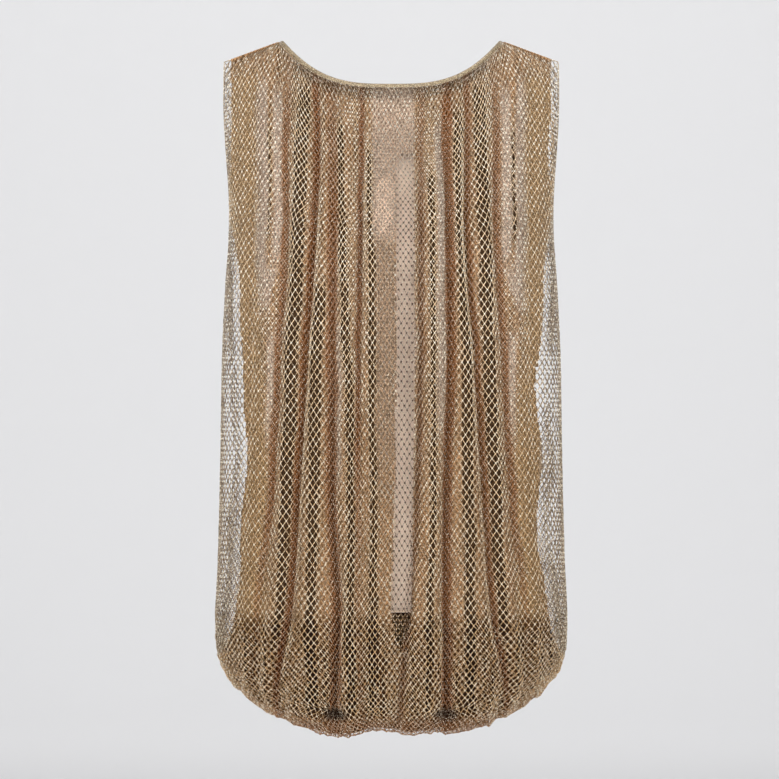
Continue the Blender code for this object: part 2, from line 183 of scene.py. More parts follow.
FRONT_FOLDS = (
    # half width, ridge, places, depths
    (5.0, 2.0, (-152, -149, -147, -149, -155, -163, -163, -145, -120), (0.5, 3, 4, 4, 3, 1.5, 1, 0.5, 0.5)),
    (5.5, 3.5, (-106, -110, -110, -118, -126, -141, -144, -129, -106), (0.5, 6, 8, 8, 6, 2, 1.5, 1, 0.5)),
    (5.5, 2.0, (-80, -78, -81, -90, -99, -108, -121, -111, -90), (2.0, 9, 12, 12, 12, 10, 4.5, 2.5, 1.5)),
    (5.0, 3.5, (-63, -62, -61, -62, -62, -56, -59, -58, -48), (1.5, 4, 6, 9, 11, 12, 12, 4, 1.5)),
    (5.0, 4.0, (-31, -31, -32, -34, -35, -34, -31, -27, -22), (2.0, 7, 10, 9, 4, 2, 2.5, 2, 1)),
    (5.0, 2.5, (31, 31, 31, 31, 27, 18, 11, 7, 5), (1.5, 6, 9, 10, 10, 9, 7, 4, 2)),
    (6.0, 1.5, (57, 58, 60, 62, 58, 57, 58, 58, 48), (1.5, 8, 12, 12, 12, 12, 12, 4, 1.5)),
    (5.5, 3.5, (80, 79, 79, 89, 98, 108, 121, 111, 90), (2.0, 9, 12, 12, 12, 10, 4.5, 2.5, 1.5)),
    (5.5, 2.0, (106, 110, 110, 118, 126, 141, 144, 129, 106), (0.5, 6, 8, 8, 6, 2, 1.5, 1, 0.5)),
    (5.0, 0.0, (152, 149, 147, 149, 155, 163, 163, 145, 120), (0.5, 3, 4, 4, 3, 1.5, 1, 0.5, 0.5)),
)
BACK_FOLDS = (
    # half width, ridge, places, depths
    (5.0, 2.0, (-151, -148, -146, -148, -152, -158, -156, -140, -117), (0.5, 3, 4, 4, 3, 1.5, 1, 0.5, 0.5)),
    (5.5, 3.5, (-106, -104, -101, -106, -112, -119, -119, -109, -90), (0.5, 5, 8, 9, 9, 8, 6, 3, 1)),
    (5.5, 3.5, (-74, -73, -70, -73, -79, -82, -81, -75, -62), (2.0, 7, 11, 12, 12, 11, 8, 4, 2)),
    (5.0, 3.5, (-42, -42, -40, -41, -38, -41, -42, -40, -34), (2.0, 6, 10, 10, 8, 9, 8, 4, 2)),
    (5.0, 3.5, (-8, -9, -10, -7, -5, -8, -9, -8, -7), (1.5, 6, 10, 11, 11, 10, 8, 4, 2)),
    (5.5, 3.5, (33, 32, 30, 31, 35, 36, 34, 32, 26), (2.0, 6, 9, 11, 12, 10, 7, 4, 2)),
    (5.5, 3.5, (71, 69, 67, 70, 74, 79, 78, 72, 60), (2.0, 7, 11, 12, 11, 10, 8, 4, 2)),
    (5.5, 2.0, (107, 105, 102, 106, 111, 117, 117, 107, 88), (0.5, 5, 8, 9, 9, 8, 6, 3, 1)),
    (5.0, 0.0, (151, 148, 146, 148, 152, 158, 156, 140, 117), (0.5, 3, 4, 4, 3, 1.5, 1, 0.5, 0.5)),
)
HEM_LOBES = (
    # place across, lift in front, lift behind
    (-150.0, 0.0, 0.0),
    (-90.0, 2.0, 1.0),
    (-52.0, 0.0, 3.0),
    (-16.0, 10.0, 4.5),
    (0.0, 8.0, 5.5),
    (22.0, 4.5, 7.0),
    (43.0, 6.5, 4.0),
    (62.0, 2.5, 3.5),
    (95.0, 2.5, 0.5),
    (150.0, 0.0, 0.0),
)
print(len(FRONT_FOLDS), "folds in front,", len(BACK_FOLDS), "behind")

# %% The neckline and the top edges of the panels
MESH_NECK_U = 0.5
LINING_NECK_U = 0.68
LINING_NECK_HALF_WIDTH = 117.0
LINING_STRAP_END = 138.0
LINING_BELOW_MESH = 3.8


def neckline(angle, half_width=NECK_HALF_WIDTH, front=NECK_FRONT, back=NECK_BACK):
    """A point of a neckline. The angle runs from the high point at +x round the front to that at -x."""
    reach, fall = front if sin(angle) >= 0 else back
    across = cos(angle)
    return Vector(
        (half_width * across, -reach * sin(angle), -fall * (1 - abs(across) ** NECK_CURVE))
    )


def neck_side(angle):
    """The direction away from the neck, along the cloth, at this angle of the neckline."""
    over_shoulder = Vector((cos(angle) * 0.93, 0.0, -0.35 * abs(cos(angle))))
    down_chest = Vector((0.0, -0.38 * sin(angle), -0.92 * abs(sin(angle))))
    return (over_shoulder + down_chest).normalized()


def mesh_top_edge(side):
    """The mesh starts under its neck binding, and then runs out along the shoulder seam."""
    middle = pi / 2 if side < 0 else -pi / 2
    corner = neckline(0) + neck_side(0) * (BINDING_WIDTH + SEAM_GAP)

    def edge(u):
        if abs(u) < MESH_NECK_U:
            angle = middle * (1 - u / MESH_NECK_U)
            place = neckline(angle) + neck_side(angle) * (BINDING_WIDTH + SEAM_GAP)
            if abs(place.y) < SEAM_GAP / 2:
                place.y = side * SEAM_GAP / 2
            return place
        along = (abs(u) - MESH_NECK_U) / (1 - MESH_NECK_U)
        x = corner.x + (SHOULDER_HALF_WIDTH - corner.x) * along
        z = corner.z + (-SHOULDER_DROP - corner.z) * along
        return Vector((x if u > 0 else -x, side * SEAM_GAP / 2, z))

    return edge


def lining_top_edge(side):
    """The lining has a lower neckline, and narrow straps that are caught in the shoulder seams."""
    middle = pi / 2 if side < 0 else -pi / 2
    curve = (74.0, 57.0) if side < 0 else (58.0, 60.0)
    slant = SHOULDER_DROP / (SHOULDER_HALF_WIDTH - NECK_HALF_WIDTH)

    def edge(u):
        if abs(u) < LINING_NECK_U:
            angle = middle * (1 - u / LINING_NECK_U)
            place = neckline(angle, LINING_NECK_HALF_WIDTH, curve, curve)
            place.z -= LINING_BELOW_MESH
            if abs(place.y) < SEAM_GAP / 2:
                place.y = side * SEAM_GAP / 2
            return place
        along = (abs(u) - LINING_NECK_U) / (1 - LINING_NECK_U)
        x = LINING_NECK_HALF_WIDTH + (LINING_STRAP_END - LINING_NECK_HALF_WIDTH) * along
        z = -LINING_BELOW_MESH - slant * (x - LINING_NECK_HALF_WIDTH)
        return Vector((x if u > 0 else -x, side * SEAM_GAP / 2, z))

    return edge


# %% One panel's smooth form
class Panel:
    """The form of a front (side -1) or back (side 1) panel at a place u across, -1 to 1, and along."""

    SHOULDER_ROLL = 75.0
    NECK_ROLL = 150.0
    SQUARENESS = 0.9

    def __init__(self, form, side, top_edge, neck_u):
        columns = list(zip(*form))
        self.levels, self.drops, self.rises, self.widths = columns[:4]
        self.depths = columns[4 if side < 0 else 5]
        self.gaps = columns[6 if side < 0 else 7]
        places, front_lifts, back_lifts = zip(*HEM_LOBES)
        self.lobe_places, self.lobe_lifts = places, front_lifts if side < 0 else back_lifts
        self.side, self.top_edge, self.neck_u = side, top_edge, neck_u

    def point(self, u, along):
        top = self.top_edge(u)
        level = along - top.z * (1 - smooth(along / 260.0))
        width = between(self.levels, self.widths, level)
        depth = between(self.levels, self.depths, level)
        gap = max(between(self.levels, self.gaps, level), SEAM_GAP / 2)
        turn = u * pi / 2
        x = width * sin(turn)
        y = self.side * (gap + (depth - gap) * max(cos(turn), 0.0) ** self.SQUARENESS)
        rise = between(self.levels, self.rises, level) * abs(sin(turn)) ** HEM_SIDE_RISE
        lobed = smooth((level - 690.0) / 50.0) * smooth((780.0 - level) / 25.0)
        rise += between(self.lobe_places, self.lobe_lifts, x) * lobed
        shoulder = smooth((abs(u) - self.neck_u * 0.7) / (self.neck_u * 0.5))
        reach = (level + top.z) / (self.NECK_ROLL + (self.SHOULDER_ROLL - self.NECK_ROLL) * shoulder)
        rest = 1 - min(max(reach, 0.0), 1.0)
        rolled = (1 - rest * rest) ** (0.85 - 0.35 * shoulder)
        return Vector(
            (
                top.x + (x - top.x) * smooth((level + top.z) / 170.0),
                top.y + (y - top.y) * rolled,
                rise - between(self.levels, self.drops, level),
            )
        )


# %% [markdown]
# ## Cloth with its folds
# A surface that is worked out anew for every thread would be slow, so each panel is sampled once on a fine
# grid, with its folds and small gathers, and every piece that lies on it then reads that grid. Its columns
# are set at equal lengths along the cloth, not at equal widths, so a net laid on it keeps its mesh size down
# into a fold.

# %% A sampled cloth surface
SAMPLES_ACROSS, SAMPLES_ALONG = 260, 156
MESH_LENGTH = MESH_FORM[-1][0]


def bell(t):
    return (1 - t * t) ** 2 if abs(t) < 1 else 0.0


FOLD_WIDENING = 1.2  # a net bridges a narrow fold, so it is wider and less deep than in the solid
FOLD_SHARE = 0.75
HOLLOW = (711.0, 8.0, 11.0, 7.0)  # along, half height, half width and depth where a deep fold meets the hem


def is_hollow(depths):
    return between(FOLD_STATIONS, depths, 650.0) > 9.0


def creases_at(folds, along):
    """(centre, half width, depth, ridge, hollow) of every fold at this level."""
    settle = smooth(along / 90.0) * (1 - 0.6 * smooth((along - 690.0) / 80.0))
    level, tall, _, deep = HOLLOW
    creases = []
    for half, ridge, places, depths in folds:
        centre = between(FOLD_STATIONS, places, along)
        depth = FOLD_SHARE * between(FOLD_STATIONS, depths, along)
        hollow = deep * bell((along - level) / tall) if is_hollow(depths) else 0.0
        creases.append((centre, half * FOLD_WIDENING, depth, ridge * settle, hollow))
    return creases


def fold_move(creases, x):
    """How far the folds move the cloth outwards at this place across."""
    move = 0.0
    for i, (centre, half, depth, ridge, hollow) in enumerate(creases):
        move -= depth * bell((x - centre) / half) + hollow * bell((x - centre) / HOLLOW[2])
        if i + 1 < len(creases):
            start, end = centre + half, creases[i + 1][0] - creases[i + 1][1]
            if start < x < end:
                t = (x - start) / (end - start)
                move += ridge * smooth(3 * t) * smooth(3 - 3 * t)
    return move


def gathers(x, along, seed):
    """Small uneven gathers, which start at the neck and fade below the chest."""
    strength = 1.3 * (1 - smooth((along - 30.0) / 330.0)) + 0.5
    return strength * noise.noise(Vector((x / 7.5, along / 95.0, seed)))


def pucker(x, along):
    """How far the hem is puckered up or down."""
    uneven = (3.4 + 3.0 * bell((abs(x) - 125.0) / 50.0)) * smooth((along - 660.0) / 50.0)
    fine = 2.4 * noise.noise(Vector((x / 3.6, 0.0, 8.0))) * smooth((along - 720.0) / 15.0)
    return uneven * noise.noise(Vector((x / 9.0, 0.0, 3.0))) + fine


def corner_bulge(x, along):
    """How far the round corners of the hem bulge unevenly, sideways."""
    corner = smooth((along - 600.0) / 60.0) * smooth((abs(x) - 115.0) / 35.0)
    bulge = 2.6 * noise.noise(Vector((0.0, along / 7.0, 9.0 if x > 0 else 4.0))) * corner
    return bulge if x > 0 else -bulge


class Cloth:
    """A panel with its folds, sampled once. at(s, along) is the place at the share s of the cloth's width."""

    def __init__(self, panel, folds, seed, behind=0.0, length=MESH_LENGTH):
        self.length, self.rows = length, []
        for r in range(SAMPLES_ALONG + 1):
            along = length * r / SAMPLES_ALONG
            flat = [panel.point(2 * c / SAMPLES_ACROSS - 1, along) for c in range(SAMPLES_ACROSS + 1)]
            creases = creases_at(folds, along) if folds else []
            drawn_in = 0.35 + 0.65 * smooth(along / 30.0)
            row = []
            for c, p in enumerate(flat):
                step = flat[min(c + 1, SAMPLES_ACROSS)] - flat[max(c - 1, 0)]
                size = hypot(step.x, step.y) or 1.0
                out = Vector((panel.side * step.y / size, panel.side * -step.x / size, 0.0)) * -1.0
                move = fold_move(creases, p.x) * drawn_in
                edge = smooth(min(c, SAMPLES_ACROSS - c) / 10.0)
                move += gathers(p.x, along, seed) * smooth(along / 12.0) - behind
                wavy = Vector((corner_bulge(p.x, along), 0.0, pucker(p.x, along)))
                row.append(p + out * move * (edge if folds else 1.0) + wavy)
            lengths = [0.0]
            for a, b in zip(row, row[1:]):
                lengths.append(lengths[-1] + (b - a).length)
            self.rows.append((row, [n / lengths[-1] for n in lengths], lengths[-1]))

    def on_row(self, r, s):
        row, shares, _ = self.rows[r]
        i = min(max(bisect_right(shares, s) - 1, 0), len(row) - 2)
        span = shares[i + 1] - shares[i]
        return row[i].lerp(row[i + 1], min(max((s - shares[i]) / span, 0.0), 1.0) if span else 0.0)

    def at(self, s, along):
        r = min(max(along / self.length, 0.0), 1.0) * SAMPLES_ALONG
        low = min(int(r), SAMPLES_ALONG - 1)
        return self.on_row(low, s).lerp(self.on_row(low + 1, s), r - low)


def put_up(place):
    """From millimetres below the high shoulder points to metres in the part's frame."""
    return (place + Vector((0.0, 0.0, SEAM_LEVEL))) * MM


MESH_PANELS = {
    "front": Panel(MESH_FORM, -1, mesh_top_edge(-1), MESH_NECK_U),
    "back": Panel(MESH_FORM, 1, mesh_top_edge(1), MESH_NECK_U),
}
LINING_PANELS = {
    "front": Panel(LINING_FORM, -1, lining_top_edge(-1), LINING_NECK_U),
    "back": Panel(LINING_FORM, 1, lining_top_edge(1), LINING_NECK_U),
}
FOLDS = {"front": FRONT_FOLDS, "back": BACK_FOLDS}
outer = {name: Cloth(panel, FOLDS[name], 3.0) for name, panel in MESH_PANELS.items()}
print("cloth widths", {n: [round(c.rows[r][2]) for r in (0, 40, 80, 110)] for n, c in outer.items()})

# %% [markdown]
# ## Putting a piece in the scene
# Every finished piece stands at the origin with its place in its mesh, rides on the part's one body, and
# names the solid that it stands for.

# %% Adding a piece


def smooth_object(name, bm, material):
    """An object with smooth faces and one material, made from a bm that is then used up."""
    mesh = bpy.data.meshes.new(name)
    for face in bm.faces:
        face.smooth = True
    bm.to_mesh(mesh)
    bm.free()
    mesh.materials.append(material)
    return new_object(name, mesh)


def add_piece(name, bm, material, stands_for=None):
    piece = smooth_object(name, bm, material)
    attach(piece, "root")
    if stands_for:
        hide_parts(stands_for)
    print(name, sum(len(p.vertices) - 2 for p in piece.data.polygons), "triangles")
    return piece


# %% [markdown]
# ## Tones
# The top is one colour of yarn, and yet it has at least five tones. A ridge that stands clear shows open
# meshes, with painted shade behind them and its threads painted lighter, as lit. Where several layers
# lie on each other they turn to a gold grain. Over the lining's edges the cloth is pale, and in the middle
# it is a single layer on the nude lining. A fold is painted reddish brown: painted shade, and painted
# light that has gone from thread to thread several times. The turned-under hem gets the same painted
# brown shade, and a hollow where a deep fold meets the hem gets a nearly black painted shadow. A table of bands
# says where each tone is. Every piece of net mixes its colour from it, and stores it on its corners as the
# attribute "tone".

# %% Bands of tone
BAND_LEVELS = (60.0, 210.0, 330.0, 470.0, 640.0)
BANDS = {
    "front": (
        # tone, from drop, to drop, half width, places across at the band levels
        ("upper", 36, 225, 22.0, (2, 3, 3, 3, 3)),
        ("fine", 80, 535, 10.0, (-7, -7, -5, -5, -5)),
        ("open", 30, 650, 7.5, (-92, -97, -103, -109, -116)),
        ("open", 240, 735, 7.0, (-75, -75, -78, -81, -84)),
        ("open", 70, 735, 5.5, (-56, -51, -46, -42, -42)),
        ("open", 100, 735, 5.0, (-23, -21, -20, -18, -20)),
        ("open", 120, 735, 4.0, (38, 42, 44, 44, 38)),
        ("open", 60, 735, 6.5, (69, 73, 79, 81, 82)),
        ("open", 30, 650, 7.5, (92, 97, 101, 107, 117)),
        ("open", 290, 450, 5.5, (-141,) * 5),
        ("open", 290, 450, 5.5, (142,) * 5),
        ("open", 80, 230, 3.0, (-128, -129, -129, -129, -129)),
        ("open", 80, 230, 3.0, (127, 128, 128, 128, 128)),
        ("pale", 30, 300, 6.5, (-136, -136, -132, -130, -130)),
        ("pale", 40, 250, 5.0, (-119, -118, -118, -118, -118)),
        ("pale", 228, 300, 7.5, (-118, -118, -153, -153, -153)),
        ("pale", 300, 440, 5.0, (-126, -126, -126, -128, -130)),
        ("pale", 290, 480, 3.5, (-56,) * 5),
        ("pale", 80, 430, 4.5, (50, 52, 53, 53, 52)),
        ("pale", 40, 250, 5.0, (120, 121, 121, 121, 121)),
        ("pale", 30, 300, 6.0, (137, 137, 134, 130, 130)),
        ("pale", 228, 300, 7.5, (118, 118, 151, 151, 151)),
        ("pale", 300, 440, 5.0, (126, 126, 126, 128, 130)),
        ("gold", 20, 640, 16.0, (-156, -156, -152, -144, -146)),
        ("gold", 20, 640, 16.0, (156, 156, 152, 144, 146)),
    ),
    "back": (
        ("open", 30, 650, 7.5, (-90, -86, -90, -97, -100)),
        ("open", 160, 735, 4.5, (-57, -55, -57, -60, -62)),
        ("open", 60, 735, 7.0, (-24, -25, -24, -22, -25)),
        ("open", 230, 735, 5.0, (12, 10, 12, 15, 14)),
        ("open", 80, 735, 6.5, (52, 49, 51, 55, 57)),
        ("open", 40, 520, 5.0, (89, 85, 88, 93, 98)),
        ("open", 250, 460, 5.0, (-128, -128, -134, -137, -137)),
        ("open", 120, 300, 4.0, (118, 118, 120, 124, 124)),
        ("pale", 110, 430, 4.5, (-51, -48, -48, -52, -54)),
        ("pale", 60, 300, 6.0, (20, 19, 20, 22, 22)),
        ("pale", 330, 590, 5.0, (44, 42, 43, 45, 47)),
        ("pale", 90, 380, 4.0, (79, 76, 78, 82, 84)),
        ("fine", 200, 640, 8.0, (-82, -80, -84, -88, -90)),
        ("pale", 30, 400, 7.0, (-132, -130, -128, -128, -128)),
        ("pale", 30, 400, 7.0, (132, 130, 128, 128, 128)),
        ("gold", 20, 640, 16.0, (-156, -156, -152, -144, -146)),
        ("gold", 20, 640, 16.0, (156, 156, 152, 144, 146)),
    ),
}
SINGLE_STRIP = (
    # drop, left edge, right edge: one layer of net over the lining
    (122.0, 14.0, 23.0),
    (138.0, 5.0, 24.0),
    (330.0, 5.0, 25.0),
    (470.0, 4.0, 23.0),
    (602.0, 0.0, 21.0),
    (640.0, 9.0, 11.0),
)
SIDES = (
    # drop, how far from the middle the cloth still lies double
    (0.0, 170.0),
    (180.0, 170.0),
    (240.0, 163.0),
    (330.0, 159.0),
    (400.0, 156.0),
    (530.0, 158.0),
    (595.0, 166.0),
    (640.0, 175.0),
    (665.0, 200.0),
)
TONES = ("open", "pale", "gold", "fine", "upper", "strip", "single", "brown_shade", "hollow")
BROWN_SHADE = (  # half width and share of painted brown shade in every fold, from the left
    (0.0, 0.0),
    (4.0, 0.8),
    (3.8, 1.0),
    (5.8, 0.9),
    (2.8, 1.0),
    (3.6, 0.6),
    (5.4, 1.0),
    (3.2, 0.9),
    (4.0, 0.75),
    (0.0, 0.0),
)
LINING_HEM = LINING_FORM[-1][0]
FADES = {"fine": 120.0}  # the length over which a band fades out at its ends; 30 for all others
SOFTNESS = {"gold": 12.0}  # the width over which a band's side fades out; 2.5 for all others
FULL_DEPTH = 6.0  # a fold at least this deep has its full painted brown shade
HEM_TURN, TURNED_UNDER = 711.0, 712.0  # the drop, and the length along, at which the hem turns under
LIT_TO, DARK_FROM = 250.0, 500.0  # the light falls off between these drops
SPARKLE = 310.0  # the scale of the noise that says which knots get a painted highlight


def strip_sides(drop):
    """The left and the right edge of the strip in the middle."""
    levels, lefts, rights = zip(*SINGLE_STRIP)
    return between(levels, lefts, drop), between(levels, rights, drop)


def side_line(drop):
    """How far from the middle the sides, with one layer only, begin."""
    return between(*zip(*SIDES), drop)


def share_in(x, middle, half, soft=2.5):
    """1 inside a band and 0 outside it, with soft edges."""
    return smooth((half - abs(x - middle)) / soft + 0.5)


def tones_at(name, x, drop):
    """How much of each tone there is at this place. Besides the bands, narrow streaks are a little open."""
    found = {tone: 0.0 for tone in TONES}
    streak = smooth(2.2 * noise.noise(Vector((x / 5.0, drop / 130.0, 3.0))) + 0.25)
    found["open"] = 0.5 * streak + 0.35 * smooth((drop - LINING_HEM) / 20.0)
    x += 2.4 * noise.noise(Vector((x / 30.0, drop / 50.0, 0.0)))
    for tone, start, end, half, places in BANDS[name]:
        if start < drop < end and min(places) - 25 < x < max(places) + 25:
            fade = FADES.get(tone, 30.0)
            faded = smooth((drop - start) / fade) * smooth((end - drop) / fade)
            there = faded * share_in(x, between(BAND_LEVELS, places, drop), half, SOFTNESS.get(tone, 2.5))
            found[tone] = max(found[tone], there)
    for (half, most), fold in zip(BROWN_SHADE, FOLDS[name]):
        if not min(fold[2]) - 16 < x < max(fold[2]) + 16:
            continue
        middle = between(FOLD_STATIONS, fold[2], drop)
        strength = most * min(between(FOLD_STATIONS, fold[3], drop) / FULL_DEPTH, 1.0)
        if half and strength > 0.1:
            found["brown_shade"] = max(found["brown_shade"], strength * share_in(x, middle, half))
        # Where a deep fold meets the hem its hollow is painted nearly black: a painted shadow.
        if is_hollow(fold[3]):
            dark = 2.0 * bell((drop - HEM_TURN + 2.0) / 9.0) * bell((x - middle) / 17.0)
            found["hollow"] = max(found["hollow"], min(dark, 1.0))
    # Below the turn of the hem the cloth lies underneath: painted brown shade.
    found["brown_shade"] = max(found["brown_shade"], 0.6 * smooth((drop - HEM_TURN) / 8.0))
    if name == "front":
        left, right = strip_sides(drop)
        inside = smooth((drop - 140.0) / 50.0) * smooth((LINING_HEM + 2.0 - drop) / 4.0)
        found["strip"] = inside * share_in(x, (left + right) / 2, (right - left) / 2, 1.5)
    for tone in ("open", "pale", "gold", "fine", "upper"):
        found[tone] *= (1 - found["brown_shade"]) * (1 - found["strip"])
    found["open"] *= (1 - found["fine"]) * (1 - found["upper"]) * (1 - 0.7 * found["pale"])
    found["single"] = smooth((abs(x) - side_line(drop)) / 5.0 + 0.5)
    return found


def shade(x, drop, along):
    """The gathers under the binding are in shadow, and the light falls off towards the hem."""
    gathered = 0.5 * (1 - smooth((along - 5.0) / 12.0)) * (1 - smooth((abs(x) - 95.0) / 15.0))
    low = smooth((drop - LIT_TO) / (DARK_FROM - LIT_TO))
    return Vector((1 - 0.14 * low, 1 - 0.18 * low, 1 - 0.25 * low)) * (1 - gathered)


def mixed(colours, name, place, along):
    """The colour at this place, from a set of colours for the tones and for what has none."""
    x, drop = place.x / MM, SEAM_LEVEL - place.z / MM
    colour = Vector(colours["plain"])
    for tone, share in tones_at(name, x, drop).items():
        colour = colour.lerp(Vector(colours[tone]), share)
    # Below the lining's hem the colours are made darker and warmer: painted shade inside the balloon.
    colour = colour.lerp(colour * Vector(colours["hem"]), smooth((drop - LINING_HEM) / 12.0))
    # The part that is turned under is painted part of the way to the brown shade: painted shade underneath.
    colour = colour.lerp(Vector(colours["brown_shade"]), 0.45 * smooth((along - TURNED_UNDER) / 18.0))
    return colour * shade(x, drop, along)


THREAD_COLOURS = {
    "plain": (0.58, 0.375, 0.205),
    # lighter threads on a ridge that stands clear: painted light
    "open": (0.88, 0.63, 0.375),
    "pale": (0.62, 0.475, 0.36),
    "gold": (0.70, 0.49, 0.28),
    "fine": (0.43, 0.29, 0.185),
    "upper": (0.74, 0.545, 0.40),
    "strip": (0.62, 0.45, 0.33),
    "single": (0.44, 0.34, 0.245),
    # painted shade in the folds and under the hem, reddish from light that has gone from thread to thread
    "brown_shade": (0.40, 0.18, 0.075),
    # the painted shadow in the hollow where a deep fold meets the hem
    "hollow": (0.07, 0.04, 0.02),
    "hem": (0.93, 0.85, 0.71),  # what the hem multiplies a colour by
}
DEEP_COLOURS = {
    "plain": (0.47, 0.275, 0.14),
    # nearly black behind the open meshes of a ridge: painted shade
    "open": (0.065, 0.034, 0.014),
    "pale": (0.64, 0.485, 0.37),
    "gold": (0.38, 0.245, 0.125),
    "fine": (0.37, 0.25, 0.16),
    "upper": (0.70, 0.52, 0.39),
    "strip": (0.60, 0.42, 0.30),
    "single": (0.56, 0.43, 0.31),
    # the same painted brown shade on the deeper layers
    "brown_shade": (0.26, 0.105, 0.035),
    # the same painted shadow on the deeper layers
    "hollow": (0.012, 0.007, 0.004),
    # darkest on the deeper layers: painted shade inside the balloon
    "hem": (0.33, 0.26, 0.20),
}


# %% Where the cloth lies double
UNDER_INSET, DEEP_INSET = -11.0, 2.0  # how far the second and third layers end before the sides begin


def in_strip(x, drop):
    left, right = strip_sides(drop)
    return SINGLE_STRIP[0][0] < drop < SINGLE_STRIP[-1][0] and left < x < right


def at_side(x, drop, inset):
    """Near the side seams, on an uneven line, there is one layer only."""
    uneven = 6.0 * noise.noise(Vector((drop / 80.0, 5.0 if x > 0 else 0.0, 1.0)))
    return abs(x) + uneven + inset > side_line(drop)


def lies_double(place):
    x, drop = place.x / MM, SEAM_LEVEL - place.z / MM
    return not (place.y < 0 and in_strip(x, drop)) and not at_side(x, drop, DEEP_INSET)


# %% [markdown]
# ## Gold yarn
# The net is knitted from a flat metallic yarn. Metal alone would look like wire, so the tone changes from
# thread to thread, and a fine noise paints small glints into its colour: a painted highlight. The attribute
# "column" counts the columns of diamonds, so it is a whole or a half number at every crossing, and the knots
# are found from it. A knot gets a painted highlight, but against the pale lining it is painted dark, as
# shade, and is the darkest thing in the cloth.

# %% Gold yarn material


def new_material(name):
    material = bpy.data.materials.new(name)
    material.use_nodes = True
    tree = material.node_tree
    return material, tree, tree.nodes["Principled BSDF"]


def noise_at(tree, vector, scale):
    texture = tree.nodes.new("ShaderNodeTexNoise")
    texture.inputs["Scale"].default_value = scale
    tree.links.new(vector, texture.inputs["Vector"])
    return texture.outputs["Fac"]


def add_relief(tree, shader, height, strength, distance):
    bump = tree.nodes.new("ShaderNodeBump")
    bump.inputs["Strength"].default_value = strength
    bump.inputs["Distance"].default_value = distance
    tree.links.new(height, bump.inputs["Height"])
    tree.links.new(bump.outputs["Normal"], shader.inputs["Normal"])


def ramp(tree, value, low, high, start=0.0, end=1.0):
    node = tree.nodes.new("ShaderNodeMapRange")
    for name, number in zip(("From Min", "From Max", "To Min", "To Max"), (low, high, start, end)):
        node.inputs[name].default_value = number
    tree.links.new(value, node.inputs["Value"])
    return node.outputs["Result"]


def blend(tree, share, first, second):
    """A colour mix. Each colour is a tuple, or the output of another node."""
    node = tree.nodes.new("ShaderNodeMix")
    node.data_type = "RGBA"
    tree.links.new(share, node.inputs["Factor"])
    for name, colour in (("A", first), ("B", second)):
        if isinstance(colour, tuple):
            node.inputs[name].default_value = (*colour, 1.0)
        else:
            tree.links.new(colour, node.inputs[name])
    return node.outputs["Result"]


def attribute(tree, name, output="Fac"):
    node = tree.nodes.new("ShaderNodeAttribute")
    node.attribute_name = name
    return node.outputs[output]


def scaled(tree, colour, share, low, high):
    """A colour made darker or lighter: times low where share is 0, and times high where it is 1."""
    times = tree.nodes.new("ShaderNodeVectorMath")
    times.operation = "SCALE"
    tree.links.new(colour, times.inputs[0])
    tree.links.new(ramp(tree, share, 0.0, 1.0, low, high), times.inputs["Scale"])
    return times.outputs["Vector"]


def knots_at_crossings(tree):
    """1 at every crossing of the threads, and 0 between the crossings."""
    fold_back = tree.nodes.new("ShaderNodeMath")
    fold_back.operation = "PINGPONG"
    tree.links.new(attribute(tree, "column"), fold_back.inputs[0])
    fold_back.inputs[1].default_value = 0.25
    return ramp(tree, fold_back.outputs["Value"], 0.055, 0.11, 1.0, 0.0)


def gold_yarn(name, low, high, glint, flat_colour=None):
    """Yarn coloured its tone times low to high, with painted glints. A flat colour takes the tone's place."""
    material, tree, shader = new_material(name)
    where = tree.nodes.new("ShaderNodeTexCoord").outputs["Object"]
    glints = noise_at(tree, where, 1000.0)
    patches = noise_at(tree, where, 600.0)
    if flat_colour:
        tone = tree.nodes.new("ShaderNodeRGB").outputs["Color"]
        tone.default_value = (*flat_colour, 1.0)
    else:
        tone = attribute(tree, "tone", "Vector")
    yarn = scaled(tree, tone, ramp(tree, patches, 0.36, 0.64), low, high)
    yarn = blend(tree, ramp(tree, glints, 0.55, 0.62), yarn, glint)
    if flat_colour:
        add_relief(tree, shader, glints, 0.5, 0.0005)
    else:
        knots = knots_at_crossings(tree)
        yarn = blend(tree, knots, yarn, attribute(tree, "knot_tone", "Vector"))
        add_relief(tree, shader, knots, 0.5, 0.001)
    tree.links.new(yarn, shader.inputs["Base Color"])
    shader.inputs["Metallic"].default_value = 0.25
    shader.inputs["Roughness"].default_value = 0.38
    shader.inputs["Specular IOR Level"].default_value = 0.3
    return material


GOLD = gold_yarn("gold_yarn", 0.25, 1.15, (1.0, 0.89, 0.70))
# The layer underneath has a darker copy of the same yarn, with dimmer glints: painted shade.
GOLD_UNDER_SHADED = gold_yarn("gold_yarn_under_shaded", 0.2, 0.95, (0.88, 0.70, 0.50))

# %% [markdown]
# ## The net
# A net of diamonds is a grid with a twist. The grid's faces are poked, which puts a point in the middle of
# each, and then the grid's own edges are dissolved: what is left are diamonds that share their corners. Each
# corner is moved onto the cloth, and the wireframe operator turns every edge into a thread.

# %% Net operators
BODY_TALL, HEM_TALL = 10.1, 8.9  # a diamond's height on the body and near the hem
CROWDING = 0.16
THREAD = 1.15  # thickness


def net_rows(length):
    """The distances along at which the rows of diamonds meet."""
    rows, along = [0.0], 0.0
    while along < length:
        along += BODY_TALL + (HEM_TALL - BODY_TALL) * smooth((along - 560.0) / 90.0)
        rows.append(along)
    return [r * length / rows[-1] for r in rows]


def crowd(s):
    """Columns stand closer together in the middle of a panel than at its sides."""
    return s + CROWDING * sin(2 * pi * s) / (2 * pi)


# A painted highlight for knots that shine, and a painted shadow for knots on the lining and fine net.
KNOT_HIGHLIGHT, KNOT_SHADOW = Vector((1.0, 0.93, 0.80)), Vector((0.09, 0.05, 0.03))


